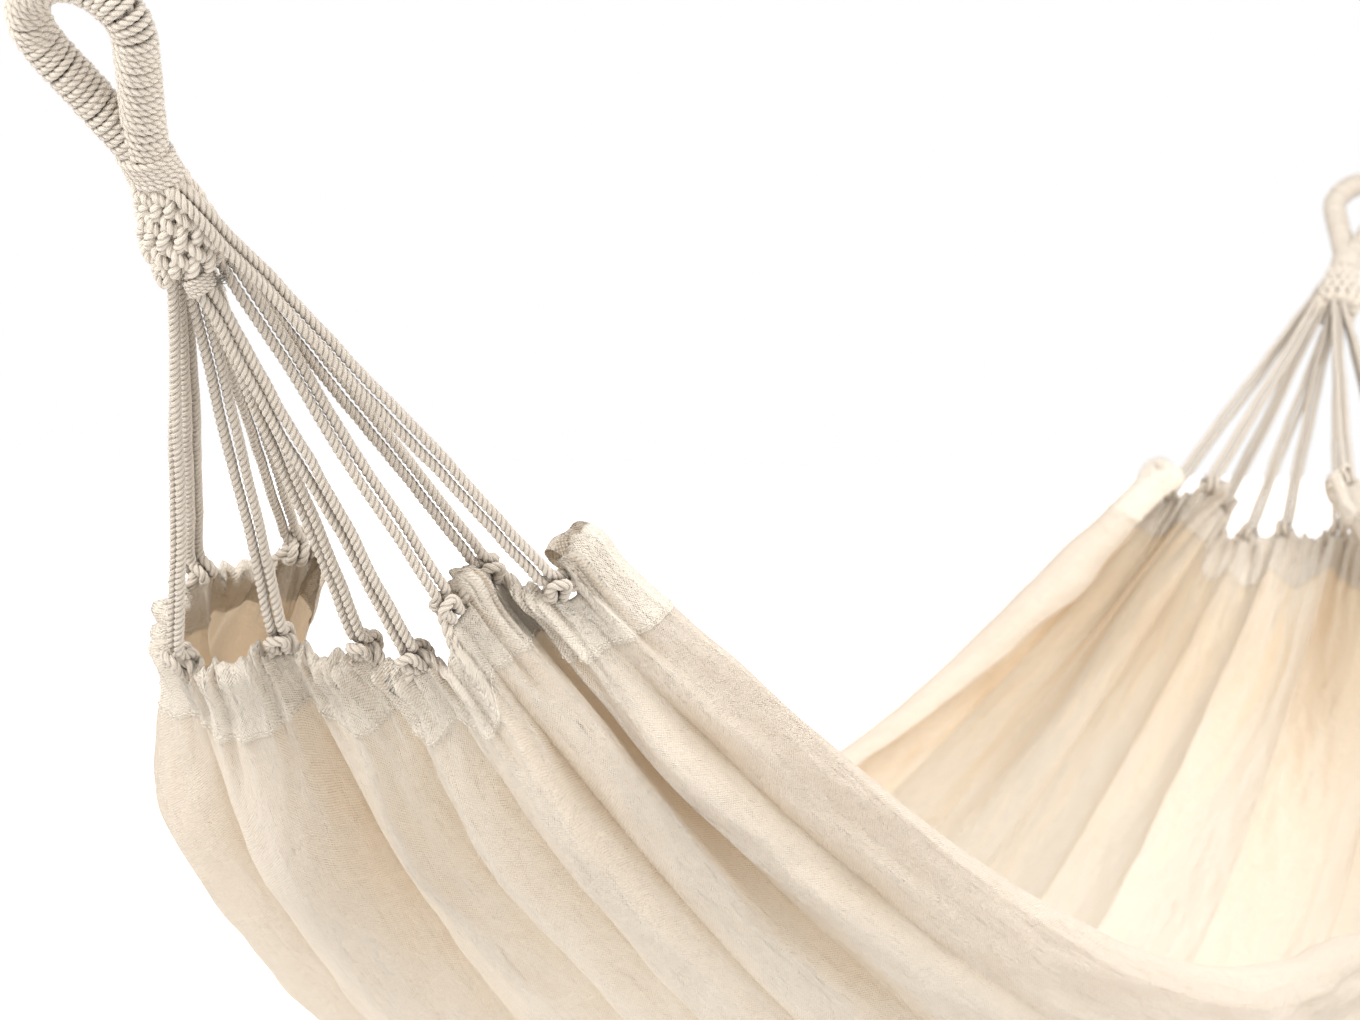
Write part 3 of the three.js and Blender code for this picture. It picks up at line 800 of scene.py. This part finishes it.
def add_braid(skin, random):
    """Cords that wind both ways round the bundle and cross over and under each other."""
    up = np.linspace(KNOT_TOP, KNOT_BOTTOM, 130)
    wide = np.interp(up, KNOT_PROFILE_UP, KNOT_PROFILE_WIDE)
    turn = np.concatenate([[0.0], np.cumsum(np.diff(-up) * math.tan(BRAID_SLANT) / wide[1:])])
    over = 2.5 * np.cos(BRAID_CORDS * turn)
    for hand in (-1.0, 1.0):
        for k in range(BRAID_CORDS):
            angle = math.tau * k / BRAID_CORDS + hand * turn
            end_at = KNOT_BOTTOM + 7.0 * math.sin(angle[-1] + 0.6) + 4.0 + random.uniform(-1.5, 1.5)
            tuck = smoothstep(up, end_at + 5.0, end_at)
            sink = smoothstep(up, KNOT_TOP - 6.0, KNOT_TOP)
            away = wide - 3.2 + hand * over - 7.0 * tuck - 3.0 * sink
            across = away * np.cos(angle) + knot_lean(up)
            through = away * np.sin(angle) * KNOT_FLATNESS
            line = on_pull(up + 0.5 * np.sin(3 * angle + k) - 2.0 * tuck, across, through)
            add_cord(skin, even(line[up >= end_at], 1.3), BRAID_CORD_RADIUS, sides=16,
                     phase=random.uniform(0, 2))


def make_knot(side, material, turned):
    """The braided knot, with one loop of cord that stands out low on it."""
    skin = Skin()
    add_braid(skin, np.random.default_rng(KNOT_SEED))
    loop_turn = np.linspace(0, math.tau, 40)
    loop = on_pull(-12.0 + 8.0 * np.cos(loop_turn), 16.0 + 3.2 * np.sin(loop_turn),
                   -17.5 + 1.2 * np.cos(loop_turn))
    add_cord(skin, even(loop, 1.6), LOOP_CORD_RADIUS, pitch=17.0, sides=14)
    core_up = np.linspace(KNOT_TOP - 2.0, KNOT_BOTTOM + 6.0, 24)
    core_wide = np.interp(core_up, KNOT_PROFILE_UP, KNOT_PROFILE_WIDE) - 5.5
    add_core(skin, core_up, core_wide, KNOT_FLATNESS, knot_lean(core_up))
    piece = skin.build(f"{side}_braided_knot", material, turned)
    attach(piece, "bed")
    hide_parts(f"{side}_knot")


# The short wrap round one pair: it starts this far down the pair's line, and is an oval.
BINDING_START = 24.0
BINDING_LONG = 12.0
BINDING_WIDE = 8.2
BINDING_THICK = 5.2
BINDING_WRAPS = 4
BINDING_CORD_RADIUS = 2.0
FRAYED_YARNS = 26


def add_frayed_end(skin, root, back, random):
    """Loose yarns that stand out from a cord's cut end, swept to one side."""
    sweep = np.array([3.0, -9.0, 2.0])
    for _ in range(FRAYED_YARNS):
        base = root + random.normal(0, 0.9, 3)
        tip = base + back * random.uniform(-3, 9) + sweep * random.uniform(0.4, 1.1)
        tip = tip + random.normal(0, 2.2, 3)
        bend = (base + tip) / 2 + random.normal(0, 1.4, 3)
        add_cord(skin, spline([base, bend, tip], 1.5), 0.32, pitch=4.0, sides=5, strands=2)


def make_binding(side, material, turned):
    """A flat wrap of cord round one pair just below the knot, with a frayed end."""
    line, _ = pair_line(BOUND_PAIR, np.random.default_rng(PAIR_SEED))
    run = lengths(line)
    samples = 40
    at = np.linspace(BINDING_START, BINDING_START + BINDING_LONG, samples)
    one = on_line(line, run, at)
    two = on_line(line, run, run[-1] - at)
    centre = (one + two) / 2
    gap = unit(two - one)
    ahead = unit(np.gradient(centre, axis=0))
    face = unit(np.cross(ahead, gap))
    turn = np.linspace(0, math.tau * BINDING_WRAPS, 36 * BINDING_WRAPS)
    place = np.linspace(2, samples - 3, len(turn))
    count = np.arange(float(samples))
    wide = BINDING_WIDE * np.cos(turn)[:, None] * on_line(gap, count, place)
    thick = BINDING_THICK * np.sin(turn)[:, None] * on_line(face, count, place)
    wind = on_line(centre, count, place) + wide + thick
    skin = Skin()
    add_cord(skin, even(wind, 1.5), BINDING_CORD_RADIUS, pitch=9.0, sides=12)
    add_frayed_end(skin, wind[-1], -ahead[-1], np.random.default_rng(BINDING_SEED))
    piece = skin.build(f"{side}_binding_wrap", material, turned)
    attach(piece, "bed")
    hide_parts(f"{side}_cord_binding")


# The neck's coils, on the line of pull: an oval a little waisted between its ends.
NECK_COILS = 5
NECK_COILS_FROM = 48.0
NECK_COILS_TO = 66.0
NECK_FLATNESS = 0.84
NECK_CORE_WIDE = 15.6
NECK_CORD_RADIUS = 2.7
THIN_CORD_PITCH = 13.0
# Two heights on the line of pull at the neck; make_neck works out their places but does not use
# them.
BEND_FROM = 42.0
BEND_TO = 68.0


def make_neck(side, material, turned):
    """Coils of cord round the neck, between the eye's two legs and the knot."""
    skin = Skin()
    turn = np.linspace(0, math.tau * NECK_COILS, 48 * NECK_COILS)
    part = turn / turn[-1]
    up = NECK_COILS_FROM + (NECK_COILS_TO - NECK_COILS_FROM) * part + 1.6 * np.cos(turn)
    wide = np.interp(part, [0, 0.35, 0.75, 1.0], [16.2, 15.4, 15.4, 16.0])
    line = on_pull(up, wide * np.cos(turn), wide * NECK_FLATNESS * np.sin(turn))
    add_cord(skin, even(line, 1.6), NECK_CORD_RADIUS, pitch=THIN_CORD_PITCH, sides=14)
    core_up = np.linspace(36.0, NECK_COILS_TO, 16)
    add_core(skin, core_up, NECK_CORE_WIDE, NECK_FLATNESS)
    piece = skin.build(f"{side}_neck_coils", material, turned)
    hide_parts(f"{side}_neck_seizing")
    high = tuple(placed(on_pull(BEND_TO), turned))
    low = tuple(placed(on_pull(BEND_FROM), turned))
    if turned:
        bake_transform(piece)
    else:
        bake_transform(piece)


def eye_line():
    """Centre line of the eye: up one leg from the neck, round its top and down the other."""
    spread = math.asin(EYE_BEND_RADIUS / EYE_LENGTH)
    centre = NECK_UP + EYE_LENGTH
    straight = EYE_LENGTH * math.cos(spread)
    half = [(NECK_UP + run * math.cos(spread), run * math.sin(spread))
            for run in (5.0, straight * 0.35, straight * 0.7)]
    for angle in np.linspace(-spread, math.pi / 2, 10):
        half.append((centre + EYE_BEND_RADIUS * math.sin(angle), EYE_BEND_RADIUS * math.cos(angle)))
    first = [on_pull(up, across) for up, across in half]
    second = [on_pull(up, -across) for up, across in half[:-1]]
    return spline(first + second[::-1], 1.0)


WRAP_PITCH = 5.2
WRAP_CORD_RADIUS = 3.0
WRAP_SINK = 2.7
# The cords inside the wrapping: their number, their size and how far out they lie.
EYE_CORDS = 5
EYE_CORD_RADIUS = 4.4
EYE_CORD_PLACE = 4.9


def make_eye(side, material, core_material, turned):
    """A loop of cords with a close wrapping of thinner cord round it."""
    random = np.random.default_rng(EYE_SEED)
    line = eye_line()
    run = lengths(line)
    normal, other = along_frames(line)
    turns = int(run[-1] / WRAP_PITCH)
    turn = np.linspace(0, math.tau * turns, 24 * turns)
    part = turn / turn[-1]
    uneven = sum(size * np.sin(math.tau * part * count + random.uniform(0, 6))
                 for count, size in ((7, 0.5), (17, 0.4), (31, 0.3)))
    at = part * run[-1] + uneven * smoothstep(np.minimum(part, 1 - part), 0, 0.05)
    at = np.clip(at + 1.4 * np.sin(turn + 0.8), 0, run[-1])
    wobble = 1.0 + 0.018 * np.sin(turn * 0.37 + 1.0) + 0.012 * np.sin(turn * 1.13)
    away = (EYE_LEG_RADIUS - WRAP_SINK) * wobble
    round_leg = (np.cos(turn)[:, None] * on_line(normal, run, at)
                 + np.sin(turn)[:, None] * on_line(other, run, at))
    wind = on_line(line, run, at) + away[:, None] * round_leg
    skin = Skin()
    add_cord(skin, even(wind, 1.5), WRAP_CORD_RADIUS, pitch=THIN_CORD_PITCH, sides=14)
    piece = skin.build(f"{side}_eye_wrapping", material, turned)
    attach(piece, f"{side}_eye")
    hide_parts(f"{side}_eye_serving")
    core = Skin()
    for k in range(EYE_CORDS):
        angle = (math.tau * k / EYE_CORDS + run / 60.0)[:, None]
        strand = line + EYE_CORD_PLACE * (np.cos(angle) * normal + np.sin(angle) * other)
        add_cord(core, even(strand, 2.0), EYE_CORD_RADIUS, pitch=26.0, sides=12)
    heart = core.build(f"{side}_eye_cords", core_material, turned)
    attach(heart, f"{side}_eye")
    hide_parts(f"{side}_eye_core")


# ---- Materials ----

THROUGH_COLOUR = (0.96, 0.81, 0.62, 1.0)
# How far the ambient occlusion reaches that drives the cloth's painted fold shade, in metres.
SHUT_IN_REACH = 0.15
YARNS_PER_STRAND = 4
YARN_PITCH = 0.006
GROOVE_SHARE = 0.17
# How far the ambient occlusion reaches that drives the cords' painted hollow shade, in metres.
HOLLOW_REACH = 0.004


def darker(colour, share):
    return (*[channel * share for channel in colour[:3]], 1.0)


class Nodes:
    """A small helper for building one material's node tree."""

    def __init__(self, name):
        self.material = bpy.data.materials.new(name)
        self.material.use_nodes = True
        self.tree = self.material.node_tree
        self.tree.nodes.clear()

    def node(self, kind, **settings):
        node = self.tree.nodes.new(kind)
        for key, value in settings.items():
            setattr(node, key, value)
        return node

    def put(self, node, name, value):
        """Sets one of a node's inputs, to a value or to another node's output."""
        if hasattr(value, "is_output"):
            self.tree.links.new(value, node.inputs[name])
        else:
            node.inputs[name].default_value = value

    def places(self):
        """The UV, its numbers one by one, and the place in the piece's own frame."""
        uv = self.node("ShaderNodeUVMap", uv_map="UVMap").outputs["UV"]
        split = self.node("ShaderNodeSeparateXYZ")
        self.put(split, 0, uv)
        return uv, split.outputs, self.node("ShaderNodeTexCoord").outputs["Object"]

    def math(self, operation, a, b=0.0):
        node = self.node("ShaderNodeMath", operation=operation)
        self.put(node, 0, a)
        self.put(node, 1, b)
        return node.outputs[0]

    def times(self, a, b):
        return self.math("MULTIPLY", a, b)

    def sum(self, first, *others):
        for other in others:
            first = self.math("ADD", first, other)
        return first

    def less(self, a, b):
        return self.math("SUBTRACT", a, b)

    def mix(self, factor, a, b):
        node = self.node("ShaderNodeMix", data_type="RGBA")
        self.put(node, 0, factor)
        self.put(node, 6, a)
        self.put(node, 7, b)
        return node.outputs[2]

    def noise(self, vector, scale, detail=3.0, rough=0.6):
        node = self.node("ShaderNodeTexNoise")
        self.put(node, "Vector", vector)
        self.put(node, "Scale", scale)
        self.put(node, "Detail", detail)
        self.put(node, "Roughness", rough)
        return node.outputs["Fac"]

    def streaks(self, vector, across, along):
        """Noise drawn out along one way of the cloth, as thick and thin yarns make."""
        node = self.node("ShaderNodeMapping")
        self.put(node, "Vector", vector)
        self.put(node, "Scale", (across, along, 1.0))
        return self.noise(node.outputs["Vector"], 1.0, 2.0)

    def shut_in(self, reach, samples):
        """How closed a place is within `reach` metres: 0 in the open, 1 deep in a fold."""
        node = self.node("ShaderNodeAmbientOcclusion", samples=samples)
        self.put(node, "Distance", reach)
        return self.less(1.0, node.outputs["AO"])

    def bump(self, height, distance, strength=1.0, normal=None):
        node = self.node("ShaderNodeBump")
        self.put(node, "Strength", strength)
        self.put(node, "Distance", distance)
        self.put(node, "Height", height)
        if normal is not None:
            self.put(node, "Normal", normal)
        return node.outputs["Normal"]

    def cotton(self, colour, normal, roughness, sheen):
        node = self.node("ShaderNodeBsdfPrincipled")
        self.put(node, "Base Color", colour)
        self.put(node, "Roughness", roughness)
        self.put(node, "Normal", normal)
        self.put(node, "Sheen Weight", sheen)
        self.put(node, "Specular IOR Level", 0.2)
        return node.outputs[0]

    def finished(self, surface):
        out = self.node("ShaderNodeOutputMaterial")
        self.put(out, "Surface", surface)
        return self.material


def cloth_material(name, light, dark, inner, weave_size, weave_depth, thin, painted_fold_tint, crumple):
    """Plain-woven cotton: its weave is bumps one yarn wide in the cloth's own directions.

    `inner` is the painted shade and bounce light that closed places turn to, `thin` the share
    of light that comes through, and the sizes are in metres.
    """
    n = Nodes(name)
    uv, (u, v, _), place = n.places()
    bend = n.times(n.noise(uv, 60.0, 4.0), 1.4)
    warp, weft = (
        n.math("SINE", n.sum(n.times(way, math.tau / weave_size), bend)) for way in (u, v))
    weave = n.times(warp, weft)
    fine = n.noise(uv, 900.0, 2.0)
    slub = n.sum(n.streaks(uv, 420.0, 22.0), n.streaks(uv, 22.0, 420.0))
    height = n.sum(n.times(weave, 0.6), n.times(fine, 0.8), n.times(slub, 0.9))
    patch = n.noise(place, 9.0, 5.0)
    tone = n.sum(n.times(patch, 0.35), n.times(fine, 0.25), n.times(slub, 0.42))
    tone = n.times(n.less(tone, 0.36), 2.0)
    # Painted shade: the pits between the crossing yarns are painted darker.
    pit = n.times(n.sum(weave, 1.0), 0.5)
    colour = n.mix(n.times(pit, 0.32), n.mix(tone, dark, light), darker(dark, 0.62))
    # Painted bounce light and shade: closed places among the folds are painted warmer and darker,
    # most of all inside the bed.
    facing = n.node("ShaderNodeNewGeometry").outputs["Backfacing"]
    share = n.sum(n.times(facing, 1.5 * painted_fold_tint), 0.45 * painted_fold_tint)
    warm = n.mix(n.times(share, n.shut_in(SHUT_IN_REACH, 8)), colour, inner)
    # Soft crumples: small ones a finger wide, and longer ones that run down the cloth.
    small = n.noise(uv, 85.0, 3.0)
    long = n.streaks(uv, 48.0, 9.0)
    creased = n.bump(n.sum(n.times(small, 0.5), long), crumple)
    surface = n.cotton(warm, n.bump(height, weave_depth, normal=creased), 0.92, 0.1)
    through = n.node("ShaderNodeBsdfTranslucent")
    n.put(through, "Color", THROUGH_COLOUR)
    blend = n.node("ShaderNodeMixShader")
    n.put(blend, 0, thin)
    n.put(blend, 1, surface)
    n.put(blend, 2, through.outputs[0])
    return n.finished(blend.outputs[0])


def cord_material(name, light, dark, groove_depth):
    """Twisted cotton: painted shade in the grooves between its strands and in hollows, fine yarns
    along them and a little fuzz.
    """
    n = Nodes(name)
    _, (u, v, _), place = n.places()
    across_strand = n.math("FRACT", u)
    to_groove = n.math("MINIMUM", across_strand, n.less(1.0, across_strand))
    wander = n.times(n.noise(place, 220.0, 3.0), 4.0)
    yarn_turn = n.times(u, math.tau * YARNS_PER_STRAND)
    yarn_run = n.times(v, math.tau / YARN_PITCH)
    yarns = n.math("SINE", n.sum(yarn_turn, yarn_run, wander))
    fuzz = n.noise(place, 1400.0, 2.0)
    groove = n.less(1.0, n.math("MINIMUM", n.times(to_groove, 1.0 / GROOVE_SHARE), 1.0))
    height = n.less(n.sum(n.times(yarns, 0.3), fuzz), n.times(groove, 1.6))
    patch = n.noise(place, 30.0, 4.0)
    tone = n.sum(n.times(patch, 0.5), n.times(fuzz, 0.3), n.times(yarns, 0.14))
    colour = n.mix(tone, dark, light)
    # Painted shade: the grooves between the strands are painted darker.
    colour = n.mix(n.times(groove, 0.6), colour, darker(dark, 0.5))
    # Painted shade: places closed in within a few millimetres are painted darker.
    colour = n.mix(n.times(n.shut_in(HOLLOW_REACH, 4), 0.5), colour, darker(dark, 0.45))
    return n.finished(n.cotton(colour, n.bump(height, groove_depth, 0.8), 0.88, 0.2))


def make_materials():
    # The inner colours are painted shade and bounce light for closed places in the folds.
    cloth = cloth_material(
        "cotton_cloth", light=(0.87, 0.79, 0.685, 1), dark=(0.76, 0.675, 0.57, 1),
        inner=(0.92, 0.66, 0.36, 1), weave_size=0.0024, weave_depth=0.0007, thin=0.26,
        painted_fold_tint=0.38, crumple=0.007)
    hem = cloth_material(
        "cotton_hem_cloth", light=(0.83, 0.745, 0.635, 1), dark=(0.72, 0.635, 0.53, 1),
        inner=(0.88, 0.72, 0.52, 1), weave_size=0.0025, weave_depth=0.0006, thin=0.06,
        painted_fold_tint=0.12, crumple=0.009)
    cord = cord_material("cotton_cord", (0.74, 0.655, 0.555, 1), (0.56, 0.485, 0.40, 1), 0.0007)
    serving = cord_material(
        "cotton_serving", (0.82, 0.735, 0.63, 1), (0.65, 0.565, 0.47, 1), 0.0006)
    thread = cord_material("cotton_thread", (0.94, 0.85, 0.72, 1), (0.86, 0.76, 0.63, 1), 0.0001)
    return cloth, hem, cord, serving, thread


# ---- Stage, in metres ----

CAMERA_PLACE = (-2.932, -1.255, 0.724)
CAMERA_TURN = math.radians(27.4)
CAMERA_TILT = math.radians(2.29)
CAMERA_LENS = 95.3
FOCUS_PLACE = (-0.99, -0.10, 0.58)
FOCUS_FSTOP = 12.0
# The world's strength as light, and as it is seen; the floor adds a glow of its own when seen.
WORLD_LIGHT = 0.84
WORLD_SEEN = 1.0
FLOOR_GLOW = 0.85
FLOOR_HALF = 30.0
FLOOR_DROP = 0.35
# Each light's name, place, the point it faces, its width and its power in watts.
LIGHTS = (
    ("key", (-3.5, 0.8, 2.5), (-0.8, 0.0, 0.35), 1.5, 98.0),
    ("side", (-1.2, -3.6, 2.2), (-0.7, 0.0, 0.4), 2.2, 58.0),
    ("far", (-0.3, -1.1, 1.6), (1.0, 0.0, 0.8), 1.4, 26.0),
)


def add_to_scene(name, data, place, turn=(0.0, 0.0, 0.0)):
    thing = bpy.data.objects.new(name, data)
    thing.location = place
    thing.rotation_euler = turn
    bpy.context.scene.collection.objects.link(thing)
    return thing


def make_camera():
    camera_data = bpy.data.cameras.new("camera")
    camera_data.lens = CAMERA_LENS
    camera_data.sensor_width = 36.0
    camera_data.clip_start = 0.05
    camera_data.dof.use_dof = True
    camera_data.dof.focus_object = add_to_scene("focus_mark", None, FOCUS_PLACE)
    camera_data.dof.aperture_fstop = FOCUS_FSTOP
    turn = (math.pi / 2 - CAMERA_TILT, 0.0, CAMERA_TURN - math.pi / 2)
    bpy.context.scene.camera = add_to_scene("camera", camera_data, CAMERA_PLACE, turn)


def make_floor():
    mesh = bpy.data.meshes.new("floor")
    corners = [(FLOOR_HALF * x, FLOOR_HALF * y, -FLOOR_DROP)
               for x, y in ((-1, -1), (1, -1), (1, 1), (-1, 1))]
    mesh.from_pydata(corners, [], [(0, 1, 2, 3)])
    paint = Nodes("floor_paint")
    matt = paint.node("ShaderNodeBsdfPrincipled")
    paint.put(matt, "Base Color", (0.93, 0.93, 0.93, 1))
    paint.put(matt, "Roughness", 1.0)
    paint.put(matt, "Specular IOR Level", 0.0)
    paint.put(matt, "Emission Color", (1.0, 1.0, 1.0, 1))
    seen = paint.node("ShaderNodeLightPath").outputs["Is Camera Ray"]
    paint.put(matt, "Emission Strength", paint.times(seen, FLOOR_GLOW))
    mesh.materials.append(paint.finished(matt.outputs[0]))
    add_to_scene("floor", mesh, (0.0, 0.0, 0.0))


def make_light(name, place, target, size, power):
    light_data = bpy.data.lights.new(name, "AREA")
    light_data.shape = "DISK"
    light_data.size = size
    light_data.energy = power
    x, y, z = np.array(target) - np.array(place)
    turn = (math.atan2(math.hypot(x, y), -z), 0.0, math.atan2(y, x) - math.pi / 2)
    add_to_scene(name, light_data, place, turn)


def make_world():
    world = bpy.data.worlds.new("studio")
    world.use_nodes = True
    tree = world.node_tree
    background = tree.nodes["Background"]
    background.inputs["Color"].default_value = (1.0, 1.0, 1.0, 1.0)
    seen = tree.nodes.new("ShaderNodeLightPath")
    strength = tree.nodes.new("ShaderNodeMapRange")
    strength.inputs["To Min"].default_value = WORLD_LIGHT
    strength.inputs["To Max"].default_value = WORLD_SEEN
    tree.links.new(seen.outputs["Is Camera Ray"], strength.inputs["Value"])
    tree.links.new(strength.outputs["Result"], background.inputs["Strength"])
    bpy.context.scene.world = world
    bpy.context.scene.view_settings.view_transform = "Standard"


# ---- Build ----

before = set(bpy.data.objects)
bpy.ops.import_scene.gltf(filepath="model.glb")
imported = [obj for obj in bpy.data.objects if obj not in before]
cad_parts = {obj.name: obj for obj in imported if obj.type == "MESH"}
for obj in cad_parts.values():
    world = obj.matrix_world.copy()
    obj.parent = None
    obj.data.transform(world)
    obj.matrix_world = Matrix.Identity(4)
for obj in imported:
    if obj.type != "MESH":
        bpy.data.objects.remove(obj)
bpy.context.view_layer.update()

CLOTH, HEM_CLOTH, CORD, SERVING, THREAD = make_materials()
make_bed_cloth(CLOTH)
for SIDE, TURNED in (("left", False), ("right", True)):
    make_hem_band(SIDE, HEM_CLOTH, TURNED)
    make_hem_stitching(SIDE, THREAD, TURNED)
    make_hem_rope(SIDE, CORD, TURNED)
    make_cord_pairs(SIDE, CORD, TURNED)
    make_knot(SIDE, SERVING, TURNED)
    make_binding(SIDE, SERVING, TURNED)
    make_neck(SIDE, SERVING, TURNED)
    make_eye(SIDE, SERVING, CORD, TURNED)
make_camera()
make_floor()
for LIGHT in LIGHTS:
    make_light(*LIGHT)
make_world()
